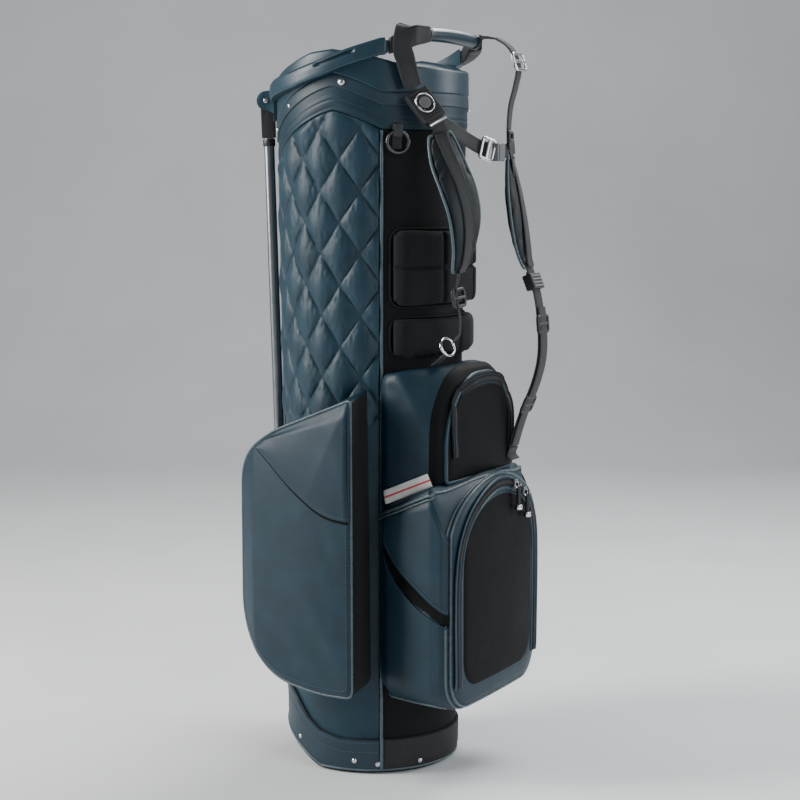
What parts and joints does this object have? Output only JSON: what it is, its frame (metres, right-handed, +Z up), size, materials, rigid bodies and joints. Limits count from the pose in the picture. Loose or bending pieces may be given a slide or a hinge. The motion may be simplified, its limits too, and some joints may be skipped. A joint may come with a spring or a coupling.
{
  "type": "golf stand bag",
  "caption": "Upright golf stand bag with folded legs, quilted side panels, side and ball pockets, carry handle and twin shoulder straps.",
  "frame": {"origin": "middle of the flat underside of the base boot, on the axis of the body tube", "axes": "+Z up along the body tube, +X towards the strap, handle and ball pocket side, -X towards the legs, so -Y and +Y are the two quilted sides"},
  "size_m": [0.3382, 0.326, 0.9103],
  "materials": {
    "leather": "navy synthetic leather, fine grain, satin",
    "mesh_fabric": "black spacer mesh",
    "webbing": "black woven webbing with a soft sheen",
    "lining": "dark woven lining",
    "piping": "dark corded piping",
    "black_plastic": "moulded black plastic, satin",
    "boot_rubber": "moulded boot, dark navy, satin",
    "leg_rubber": "black rubber",
    "leg_metal": "satin grey anodised tube",
    "steel": "polished steel",
    "zip_tape": "black zip tape with nylon coil",
    "trim": "white trim tape with a thin red line"
  },
  "bodies": {
    "bag": {"base_boot": "boot_rubber", "foot_pin": "steel", "body_tube": "lining", "side_panel_near": "leather", "side_panel_far": "leather", "front_panel": "mesh_fabric", "spine_panel": "leather", "side_piping_near": "piping", "side_piping_far": "piping", "collar_band": "leather", "collar": "leather", "top_divider": "leather", "divider_sheet_long": "lining", "divider_sheet_back": "lining", "divider_sheet_front": "lining", "collar_arm_near": "leather", "collar_arm_far": "leather", "leg_bracket": "leather", "leg_pin_near": "steel", "leg_pin_far": "steel", "handle_grip": "leather", "handle_bracket_near": "black_plastic", "handle_bracket_far": "black_plastic", "side_pocket_near": "leather", "side_pocket_far": "leather", "ball_pocket": "leather", "valuables_pocket": "leather", "trim_stripe_near": "trim", "trim_stripe_far": "trim", "ball_zip": "zip_tape", "zip_slider_inner": "steel", "zip_slider_outer": "steel", "hip_pad_upper": "mesh_fabric", "hip_pad_lower": "mesh_fabric", "towel_loop": "webbing", "strap_web_top_near": "webbing", "strap_buckle": "black_plastic", "shoulder_pad_near": "leather", "strap_web_low_near": "webbing", "strap_web_top_far": "webbing", "shoulder_pad_far": "leather", "strap_web_low_far": "webbing", "far_adjuster": "black_plastic", "cross_strap": "webbing", "cross_clip": "black_plastic", "d_ring_near": "steel", "d_ring_tab": "webbing"},
    "leg_near": {"leg_head_near": "black_plastic", "leg_tube_near": "leg_metal", "leg_foot_near": "leg_rubber"},
    "leg_far": {"leg_head_far": "black_plastic", "leg_tube_far": "leg_metal", "leg_foot_far": "leg_rubber"},
    "rod": {"push_rod": "leg_metal"},
    "foot": {"kick_foot": "black_plastic"},
    "ring": {"towel_ring": "steel"},
    "pull_inner": {"zip_pull_inner": "black_plastic"},
    "pull_outer": {"zip_pull_outer": "black_plastic"},
    "button": {"buckle_button": "black_plastic"}
  },
  "joints": [
    {"name": "leg_near_hinge", "type": "hinge", "parent": "bag", "child": "leg_near", "pos_m": [-0.126, -0.045, 0.829], "axis": [-0.3746, 0.9272, 0], "range_deg": [0, 28], "stiffness_Nm_per_rad": 0.8, "springref_deg": -14.32},
    {"name": "leg_far_hinge", "type": "hinge", "parent": "bag", "child": "leg_far", "pos_m": [-0.126, 0.045, 0.829], "axis": [0.3746, 0.9272, 0], "range_deg": [0, 28], "stiffness_Nm_per_rad": 0.8, "springref_deg": -14.32},
    {"name": "push_rod_slide", "type": "slide", "parent": "bag", "child": "rod", "axis": [-0.023, 0, 0.9997], "range_m": [0, 0.0099]},
    {"name": "kick_foot_hinge", "type": "hinge", "parent": "bag", "child": "foot", "pos_m": [-0.025, 0, 0.01], "axis": [0, 1, 0], "range_deg": [0, 9]},
    {"name": "towel_ring_swing", "type": "hinge", "parent": "bag", "child": "ring", "pos_m": [0.08498, -0.088, 0.7875], "axis": [-0.7193, -0.6947, 0], "range_deg": [0, 80]},
    {"name": "zip_pull_inner_swing", "type": "hinge", "parent": "bag", "child": "pull_inner", "pos_m": [0.18821, 0.034, 0.356], "axis": [0, -1, 0], "range_deg": [0, 80]},
    {"name": "zip_pull_outer_swing", "type": "hinge", "parent": "bag", "child": "pull_outer", "pos_m": [0.18723, 0.062, 0.3425], "axis": [0, -1, 0], "range_deg": [0, 80]},
    {"name": "buckle_button_press", "type": "slide", "parent": "bag", "child": "button", "axis": [-0.646, 0.646, -0.4067], "range_m": [0, 0.0015], "stiffness_N_per_m": 400, "springref_m": -0.0008}
  ],
  "couplings": [
    {"joint": "leg_far_hinge", "follows": "leg_near_hinge", "ratio": 1},
    {"joint": "push_rod_slide", "follows": "leg_near_hinge", "m_per_rad": 0.0202},
    {"joint": "kick_foot_hinge", "follows": "leg_near_hinge", "ratio": 0.321}
  ]
}
